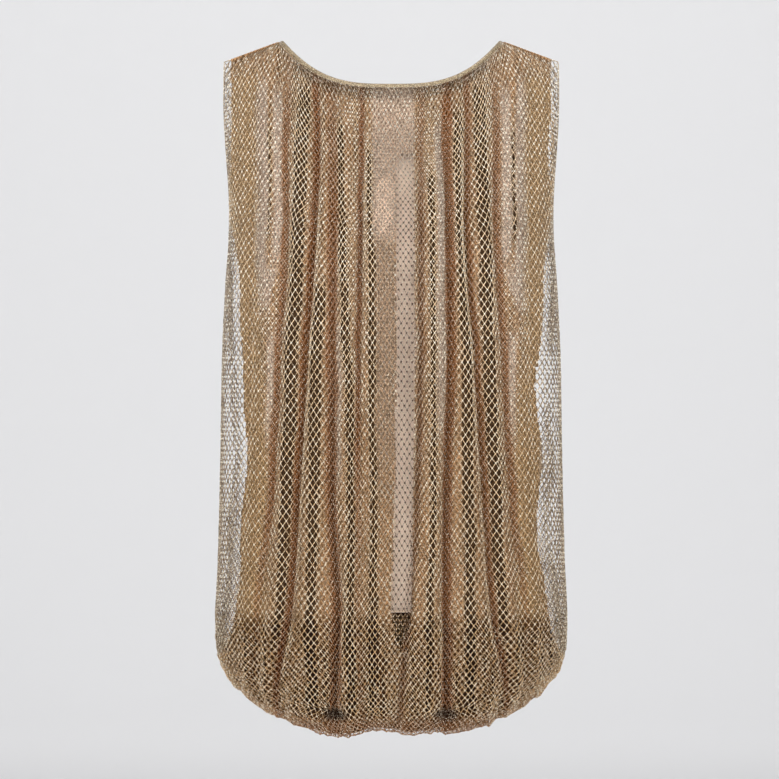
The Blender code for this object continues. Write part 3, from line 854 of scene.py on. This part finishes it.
def knot_tone(name, place, tone, along):
    """Knots get painted highlights on the gold, and painted shade on the lining and pale cloth lower down."""
    x, drop = place.x / MM, SEAM_LEVEL - place.z / MM
    sparkle = noise.noise(place * SPARKLE)
    light = KNOT_HIGHLIGHT * shade(x, drop, along)
    bright = tone.lerp(light, smooth((sparkle + 0.2) / 0.4)) if sparkle > -0.2 else tone * 0.5
    found = tones_at(name, x, drop)
    dark = smooth((drop - 75.0) / 40.0) * max(0.8 * found["fine"], 0.7 * found["upper"])
    if name == "front" and in_strip(x, drop):
        return bright.lerp(KNOT_SHADOW, smooth((drop - 95.0) / 60.0))
    return bright.lerp(tone, max(found["brown_shade"], found["hollow"])).lerp(KNOT_SHADOW, dark)


def diamond_net(cloth, name, columns, rows, keep=None, jitter=0.5, seed=0.0):
    """The net as flat diamonds, each corner laid on the cloth."""
    bm = bmesh.new()
    bmesh.ops.create_grid(bm, x_segments=columns, y_segments=len(rows) - 1, size=1.0)
    own_edges = [e for e in bm.edges if len(e.link_faces) == 2]
    bmesh.ops.poke(bm, faces=bm.faces)
    bmesh.ops.dissolve_edges(bm, edges=own_edges)
    tone = bm.verts.layers.float_vector.new("tone")
    knots = bm.verts.layers.float_vector.new("knot_tone")
    column = bm.verts.layers.float.new("column")
    for vert in bm.verts:
        vert[column] = (vert.co.x + 1) / 2 * columns
        s, r = crowd((vert.co.x + 1) / 2), (1 - vert.co.y) / 2 * (len(rows) - 1)
        low = min(int(r + 1e-6), len(rows) - 2)
        along = rows[low] + (rows[low + 1] - rows[low]) * (r - low)
        place = cloth.at(s, along)
        if 0.001 < s < 0.999 and 0.01 < r < len(rows) - 1.01:
            uneven = jitter * (1 + 0.9 * smooth((along - 580.0) / 60.0))
            place += noise.noise_vector(Vector((s * 90.0, r, seed))) * uneven
        vert.co = put_up(place)
        vert[tone] = mixed(THREAD_COLOURS, name, vert.co, along)
        vert[knots] = knot_tone(name, vert.co, vert[tone], along)
    if keep:
        gone = [f for f in bm.faces if not keep(f.calc_center_median())]
        bmesh.ops.delete(bm, geom=gone, context="FACES")
    return bm


def spin_threads(bm):
    """Turn every edge into a thread."""
    bm.normal_update()
    bmesh.ops.wireframe(bm, faces=bm.faces, thickness=THREAD * MM, use_replace=True, use_boundary=True)


# %% [markdown]
# ## Seams and edges
# A seam is a thin cord of yarn along a path. It is a grid whose rows follow the path and whose columns go
# round it.

# %% Cords along the seams
SEAM_CORD, EDGE_CORD = 0.6, 0.45  # radii


def add_cord(bm, path, radius, across=(0.0, 1.0, 0.0)):
    """A round cord along a path that never runs the way of the vector across."""
    grid = bmesh.ops.create_grid(bm, x_segments=len(path) - 1, y_segments=6, size=1.0)
    last = len(path) - 1
    for vert in grid["verts"]:
        i, turn = round((vert.co.x + 1) / 2 * last), (vert.co.y + 1) * pi
        ahead = (path[min(i + 1, last)] - path[max(i - 1, 0)]).normalized()
        side = ahead.cross(Vector(across)).normalized()
        up = side.cross(ahead)
        vert.co = put_up(path[i] + (side * cos(turn) + up * sin(turn)) * radius)


def cords(name, paths, radius, material, across=(0.0, 1.0, 0.0)):
    bm = bmesh.new()
    for path in paths:
        add_cord(bm, path, radius, across)
    bmesh.ops.remove_doubles(bm, verts=bm.verts, dist=0.02 * MM)
    bmesh.ops.holes_fill(bm, edges=bm.edges, sides=6)
    bmesh.ops.recalc_face_normals(bm, faces=bm.faces)
    return add_piece(name, bm, material)


def along_edge(cloth, s, start, end, step=6.0):
    count = round((end - start) / step)
    return [cloth.at(s, start + (end - start) * i / count) for i in range(count + 1)]


def round_hem(cloth, along, count=240):
    return [cloth.at(i / count, along) for i in range(count + 1)]


UNDERARM, TURN, HEM_SEAM = 212.0, 740.0, 778.0
GOLD_SEAM = gold_yarn("gold_seam", 0.3, 1.1, (0.95, 0.82, 0.62), (0.46, 0.33, 0.19))
shoulder_paths = [
    [mesh_top_edge(-1)(side * (MESH_NECK_U + (1 - MESH_NECK_U) * i / 16)) for i in range(17)]
    for side in (-1, 1)
]
shoulder_seams = cords("shoulder_seams", shoulder_paths, SEAM_CORD, GOLD_SEAM)
side_paths = [along_edge(outer["front"], s, UNDERARM, TURN) for s in (0.0, 1.0)]
side_seams = cords("side_seams", side_paths, SEAM_CORD, GOLD_SEAM)
trims = {"front": [shoulder_seams, side_seams], "back": []}
for name, cloth in outer.items():
    edges = [along_edge(cloth, s, 0.0, UNDERARM) for s in (0.0, 1.0)]
    trims[name].append(cords(f"{name}_armhole_edges", edges, EDGE_CORD, GOLD_SEAM))
    hem = [round_hem(cloth, HEM_SEAM)]
    trims[name].append(cords(f"{name}_hem_seam", hem, SEAM_CORD, GOLD_SEAM, across=(0, 0, 1)))

# %% Knots that show
BEAD, BEAD_ON_LINING, BEAD_ON_NET = 0.95, 1.25, 0.8  # radius of a knot, and what multiplies it
CLEAR = 0.6  # a tone with a larger share is the one that is seen


def shows_knot(name, place, found):
    """Dark knots show on the lining and on fine net, and bright ones where the net is open or gold."""
    # Dark knots are painted shade, and bright knots a painted highlight.
    if max(found["strip"], found["fine"], found["upper"]) > CLEAR:
        return True
    return found["open"] + found["gold"] + found["pale"] > 0.5 and noise.noise(place * SPARKLE) > 0.08


BEAD_POINTS = ((0, 0, 1), (1, 0, 0), (0, 1, 0), (-1, 0, 0), (0, -1, 0), (0, 0, -1))
BEAD_FACES = [(0, i, i % 4 + 1) for i in (1, 2, 3, 4)] + [(5, i % 4 + 1, i) for i in (1, 2, 3, 4)]


def knots_of(name, net):
    """A small bead, with eight faces, on every crossing whose knot shows."""
    at_tone = net.verts.layers.float_vector["knot_tone"]
    bm = bmesh.new()
    tone = bm.verts.layers.float_vector.new("knot_tone")
    for crossing in net.verts:
        place = crossing.co
        found = tones_at(name, place.x / MM, SEAM_LEVEL - place.z / MM)
        if crossing.is_boundary or not shows_knot(name, place, found):
            continue
        size = BEAD * MM * (BEAD_ON_LINING if found["strip"] > CLEAR else BEAD_ON_NET)
        points = [bm.verts.new(place + Vector(point) * size) for point in BEAD_POINTS]
        for point in points:
            point[tone] = crossing[at_tone]
        for face in BEAD_FACES:
            bm.faces.new([points[i] for i in face])
    return bm


# %% The outer net
COLUMNS = 77
rows = net_rows(MESH_LENGTH)
print(len(rows), "rows of diamonds")
for name, cloth in outer.items():
    net = diamond_net(cloth, name, COLUMNS, rows, seed=5.0 if name == "front" else 9.0)
    trims[name].append(add_piece(f"mesh_{name}_knots", knots_of(name, net), GOLD))
    spin_threads(net)
    piece = add_piece(f"mesh_{name}_net", net, GOLD, f"mesh_{name}")

# %% [markdown]
# ## The cloth folded under
# Gathered cloth lies double or triple between its folds, which is why most of the net looks dense and gold.
# Only a strip in the middle and the sides are a single layer. The layer just underneath is a net of its own,
# a few millimetres behind, with its meshes out of step. What lies deeper shows only as a dark net behind the
# threads, so it is a plain sheet whose material draws the meshes.

# %% The net just underneath
UNDER_LENGTH = 742.0
UNDER_BEHIND, DEEP_BEHIND = 3.5, 6.5  # how far the layers lie behind the outer net


def dense_on(name):
    """The second net lies where the cloth is double, but not behind open meshes."""

    def lies_dense(place):
        x, drop = place.x / MM, SEAM_LEVEL - place.z / MM
        found = tones_at(name, x, drop)
        dense = max(found["open"], found["fine"], found["gold"]) < CLEAR
        single = name == "front" and in_strip(x, drop)
        return dense and not single and not at_side(x, drop, UNDER_INSET)

    return lies_dense


for name, panel in MESH_PANELS.items():
    under = Cloth(panel, FOLDS[name], 11.0, behind=UNDER_BEHIND, length=UNDER_LENGTH)
    net = diamond_net(
        under, name, COLUMNS - 6, net_rows(UNDER_LENGTH), dense_on(name), jitter=0.9, seed=21.0
    )
    spin_threads(net)
    piece = add_piece(f"mesh_{name}_folded_under", net, GOLD_UNDER_SHADED)

# %% Net pattern, for the layers that lie deeper


def net_pattern():
    """Threads (1) and meshes (0), one diamond for each unit of the vector, with uneven meshes."""
    group = bpy.data.node_groups.new("net_pattern", "ShaderNodeTree")
    group.interface.new_socket("Vector", in_out="INPUT", socket_type="NodeSocketVector")
    group.interface.new_socket("Width", in_out="INPUT", socket_type="NodeSocketFloat")
    group.interface.new_socket("Threads", in_out="OUTPUT", socket_type="NodeSocketFloat")
    ends = group.nodes.new("NodeGroupInput"), group.nodes.new("NodeGroupOutput")
    wobble = group.nodes.new("ShaderNodeTexNoise")
    wobble.inputs["Scale"].default_value = 0.7
    group.links.new(ends[0].outputs["Vector"], wobble.inputs["Vector"])
    shift = group.nodes.new("ShaderNodeVectorMath")
    shift.operation = "MULTIPLY_ADD"
    shift.inputs[1].default_value = (0.5, 0.5, 0.0)
    group.links.new(wobble.outputs["Color"], shift.inputs[0])
    group.links.new(ends[0].outputs["Vector"], shift.inputs[2])
    parts = group.nodes.new("ShaderNodeSeparateXYZ")
    group.links.new(shift.outputs["Vector"], parts.inputs[0])

    def maths(operation, first, second):
        node = group.nodes.new("ShaderNodeMath")
        node.operation = operation
        for socket, value in zip(node.inputs, (first, second)):
            if isinstance(value, float):
                socket.default_value = value
            else:
                group.links.new(value, socket)
        return node.outputs["Value"]

    x, y = parts.outputs["X"], parts.outputs["Y"]
    falling = maths("PINGPONG", maths("ADD", x, y), 0.5)
    rising = maths("PINGPONG", maths("SUBTRACT", x, y), 0.5)
    nearest = maths("MINIMUM", falling, rising)
    share = maths("DIVIDE", nearest, ends[0].outputs["Width"])
    threads = maths("SUBTRACT", 1.0, maths("MINIMUM", share, 1.0))
    group.links.new(threads, ends[1].inputs["Threads"])
    return group


NET_PATTERN = net_pattern()


def deep_net(name, across, along, width, contrast):
    """Deeper layers of net: their tone, made lighter on the threads and broken up by a grain."""
    material, tree, shader = new_material(name)
    where = tree.nodes.new("ShaderNodeTexCoord")
    scale = tree.nodes.new("ShaderNodeMapping")
    scale.inputs["Scale"].default_value = (across, along, 1.0)
    tree.links.new(where.outputs["UV"], scale.inputs["Vector"])
    pattern = tree.nodes.new("ShaderNodeGroup")
    pattern.node_tree = NET_PATTERN
    pattern.inputs["Width"].default_value = width
    tree.links.new(scale.outputs["Vector"], pattern.inputs["Vector"])
    threads = pattern.outputs["Threads"]
    grain = noise_at(tree, where.outputs["Object"], 800.0)
    colour = scaled(tree, attribute(tree, "tone", "Vector"), threads, 1 - contrast, 1 + contrast)
    colour = scaled(tree, colour, ramp(tree, grain, 0.36, 0.64), 1 - contrast, 1 + contrast)
    add_relief(tree, shader, threads, 0.6, 0.0012)
    tree.links.new(colour, shader.inputs["Base Color"])
    shader.inputs["Roughness"].default_value = 0.6
    shader.inputs["Specular IOR Level"].default_value = 0.1
    return material


DEEP_NET = deep_net("deep_net", 118.0, 96.0, 0.22, 0.42)

# %% [markdown]
# ## A thin sheet on the cloth
# A sheet is a grid that is laid on the sampled cloth. It keeps a UV map of its place across and along, so
# that its pattern follows the cloth and not the room.

# %% Sheet


def grid_with_uvs(columns, rows):
    """A grid from -1 to 1 whose UV map runs from 0 to 1."""
    bm = bmesh.new()
    bmesh.ops.create_grid(bm, x_segments=columns, y_segments=rows, size=1.0)
    uv = bm.loops.layers.uv.verify()
    for face in bm.faces:
        for loop in face.loops:
            loop[uv].uv = ((loop.vert.co.x + 1) / 2, (loop.vert.co.y + 1) / 2)
    return bm


def thicken(bm, wall):
    """Turn the faces away from the middle of the top, and give them a wall."""
    bm.normal_update()
    if sum(f.normal.dot(f.calc_center_median() * Vector((1, 1, 0))) for f in bm.faces) < 0:
        bmesh.ops.reverse_faces(bm, faces=bm.faces)
    bmesh.ops.solidify(bm, geom=bm.faces[:], thickness=wall * MM)


def sheet_on(cloth, columns, rows, wall, name=None, keep=None):
    bm = grid_with_uvs(columns, rows)
    tone = bm.verts.layers.float_vector.new("tone") if name else None
    for vert in bm.verts:
        share = (vert.co.y + 1) / 2
        vert.co = put_up(cloth.at((vert.co.x + 1) / 2, (1 - share) * cloth.length))
        if name:
            vert[tone] = mixed(DEEP_COLOURS, name, vert.co, (1 - share) * cloth.length)
    if keep:
        gone = [f for f in bm.faces if not keep(f.calc_center_median())]
        bmesh.ops.delete(bm, geom=gone, context="FACES")
    thicken(bm, wall)
    return bm


# %% The deeper layers
for name, panel in MESH_PANELS.items():
    deep = Cloth(panel, FOLDS[name], 15.0, behind=DEEP_BEHIND, length=UNDER_LENGTH)
    sheet = sheet_on(deep, 240, 90, 0.4, name, lies_double)
    piece = add_piece(f"mesh_{name}_deep_folds", sheet, DEEP_NET)

# %% [markdown]
# ## The lining
# The tank lining is a fine nude jersey. It is a thin shell on the solid's form, with a turned hem.

# %% Lining material and pieces
def jersey(name, light, dark):
    material, tree, shader = new_material(name)
    knit = noise_at(tree, tree.nodes.new("ShaderNodeTexCoord").outputs["Object"], 1400.0)
    add_relief(tree, shader, knit, 0.25, 0.0003)
    tree.links.new(blend(tree, knit, dark, light), shader.inputs["Base Color"])
    shader.inputs["Roughness"].default_value = 0.75
    shader.inputs["Sheen Weight"].default_value = 0.2
    return material


NUDE = jersey("nude_jersey", (0.96, 0.78, 0.63), (0.86, 0.67, 0.53))
LINING_UNDERARM, LINING_TURN_UP = 286.0, 12.0
for name, panel in LINING_PANELS.items():
    cloth = Cloth(panel, None, 7.0, length=LINING_HEM)
    sheet = sheet_on(cloth, 60, 60, 0.8)
    piece = add_piece(f"lining_{name}_jersey", sheet, NUDE, f"lining_{name}")
    edges = [along_edge(cloth, s, 0.0, LINING_UNDERARM) for s in (0.0, 1.0)]
    neck = [cloth.at(0.16 + 0.68 * i / 90, 0.0) for i in range(91)]
    hem = [round_hem(cloth, LINING_HEM - up, 120) for up in (0.5, LINING_TURN_UP)]
    trim = [
        cords(f"lining_{name}_armhole_edges", edges, 1.0, NUDE),
        cords(f"lining_{name}_neck_edge", [neck], 1.0, NUDE, (0, 0, 1)),
        cords(f"lining_{name}_hem_edge", hem[:1], 0.9, NUDE, (0, 0, 1)),
        cords(f"lining_{name}_hem_stitches", hem[1:], 0.6, NUDE, (0, 0, 1)),
    ]

# %% [markdown]
# ## The neck binding
# A narrow strip of the gold knit is folded over the gathered edge. It is a ring with a rounded section,
# which is a grid wrapped round the neckline one way and round the strip's section the other.

# %% Neck binding
BINDING_THICK = 2.6
BINDING_RIB = 0.14
GOLD_KNIT = gold_yarn("gold_knit", 0.45, 1.0, (0.6, 0.5, 0.34), (0.32, 0.24, 0.145))


def wrapped_ring(columns, section_points, place):
    """A closed ring. place(angle, turn, column) is its point round the neck and round its section."""
    bm = bmesh.new()
    bmesh.ops.create_grid(bm, x_segments=columns, y_segments=section_points, size=1.0)
    for vert in bm.verts:
        vert.co = put_up(place((vert.co.x + 1) * pi, (vert.co.y + 1) * pi, vert.co.x * columns / 2))
    bmesh.ops.remove_doubles(bm, verts=bm.verts, dist=0.02 * MM)
    bmesh.ops.recalc_face_normals(bm, faces=bm.faces)
    return bm


def binding_place(angle, turn, column):
    away = neck_side(angle)
    out = away.cross(Vector((sin(angle), cos(angle), 0.0))).normalized()
    rib = 1 + BINDING_RIB * cos(column * 2 * pi / 3)
    middle = neckline(angle) + away * BINDING_WIDTH / 2
    return (
        middle
        + away * (BINDING_WIDTH / 2) * sin(turn)
        + out * (BINDING_THICK / 2 * cos(turn) * rib - BINDING_THICK / 2)
    )


ring = wrapped_ring(720, 10, binding_place)
piece = add_piece("neck_binding_knit", ring, GOLD_KNIT, "neck_binding")

# %% [markdown]
# ## The hem band
# The turned hem is drawn in by a wide gathered band inside the balloon. Little light reaches it, so its net
# is painted dark brown, as painted shade, and through the outer net it is what makes the hem look dark below
# the lining.

# %% Hem band
BAND_NET = deep_net("band_net", 90.0, 12.0, 0.2, 0.5)
# a dark brown that is painted shade
BAND_SHADE_COLOUR = Vector((0.11, 0.07, 0.035))
BAND_WALL = 1.6


def band_place(angle, share):
    _, drop, rise, half_width, front, back, _, _ = MESH_FORM[-1]
    puff = (1.8 - 1.4 * (2 * share - 1) ** 6) * cos(angle * HEM_GATHERS) + HEM_BAND_SPREAD * share
    depth = front if cos(angle) > 0 else back
    x = (half_width + puff) * sin(angle)
    y = -(depth + puff) * cos(angle)
    lift = rise * abs(sin(angle)) ** HEM_SIDE_RISE * (1 - share)
    return Vector((x, y, lift - drop + SEAM_GAP + HEM_BAND_HEIGHT * share))


band = grid_with_uvs(432, 24)
tone = band.verts.layers.float_vector.new("tone")
for vert in band.verts:
    vert.co = put_up(band_place((vert.co.x + 1) * pi, (vert.co.y + 1) / 2))
    vert[tone] = BAND_SHADE_COLOUR
bmesh.ops.remove_doubles(band, verts=band.verts, dist=0.02 * MM)
thicken(band, BAND_WALL)
piece = add_piece("hem_band_gathered", band, BAND_NET, "hem_band")

# %% [markdown]
# ## Stage and light
# The floor is a wide round dish whose edge bends up into a wall, so that the ground is plain and pale from
# every side. Two soft lamps stand in front and two behind, one hangs above, and four more light the wall.

# %% Stage
FLOOR_REACH, BEND, WALL, FLOOR_LEVEL = 6.8, 1.9, 2.4, -1.1  # the floor, its bend, the wall above


def bowl(share):
    """(distance from the middle, height) along a section of the stage."""
    run = share * (FLOOR_REACH + BEND * pi / 2 + WALL)
    if run <= FLOOR_REACH:
        return run, 0.0
    turn = (run - FLOOR_REACH) / BEND
    if turn <= pi / 2:
        return FLOOR_REACH + BEND * sin(turn), BEND * (1 - cos(turn))
    return FLOOR_REACH + BEND, BEND + (turn - pi / 2) * BEND


sweep = bmesh.new()
bmesh.ops.create_grid(sweep, x_segments=96, y_segments=48, size=1.0)
for vert in sweep.verts:
    (reach, height), turn = bowl((vert.co.y + 1) / 2), vert.co.x * pi
    vert.co = (reach * cos(turn), reach * sin(turn), height + FLOOR_LEVEL)
bmesh.ops.remove_doubles(sweep, verts=sweep.verts, dist=MM)
plain, _, shader = new_material("plain_floor")
shader.inputs["Base Color"].default_value = (0.8, 0.8, 0.805, 1.0)
shader.inputs["Roughness"].default_value = 0.9
floor = smooth_object("floor", sweep, plain)

# %% Lights


def softbox(name, place, aim, width, height, watts):
    light = bpy.data.lights.new(name, "AREA")
    light.shape, light.size, light.size_y = "RECTANGLE", width, height
    light.energy = watts
    lamp = new_object(name, light)
    lamp.location = place
    lamp.rotation_euler = (Vector(aim) - Vector(place)).to_track_quat("-Z", "Y").to_euler()


MIDDLE = (0.0, 0.0, -0.4)
softbox("left", (-1.3, -3.0, 0.6), MIDDLE, 1.6, 1.6, 59)
softbox("right", (1.3, -3.0, 0.6), MIDDLE, 1.6, 1.6, 52)
softbox("top", (0.0, 0.0, 2.2), (0.0, 0.0, -0.3), 1.4, 1.4, 24)
softbox("back_left", (-1.3, 3.0, 0.8), MIDDLE, 1.6, 1.6, 40)
softbox("back_right", (1.3, 3.0, 0.8), MIDDLE, 1.6, 1.6, 44)
for quarter in range(4):  # one lamp before each quarter of the wall
    side = Vector((sin(quarter * pi / 2), cos(quarter * pi / 2), 0.0))
    place, aim = side * 5.4 + Vector((0, 0, 2.8)), side * 8.0 + Vector((0, 0, -0.6))
    softbox("wall_%d" % quarter, place, aim, 2.0, 1.0, 72)
world = bpy.data.worlds.new("room")
world.use_nodes = True
world.node_tree.nodes["Background"].inputs["Color"].default_value = (0.98, 0.98, 1.0, 1.0)
world.node_tree.nodes["Background"].inputs["Strength"].default_value = 0.4
bpy.context.scene.world = world
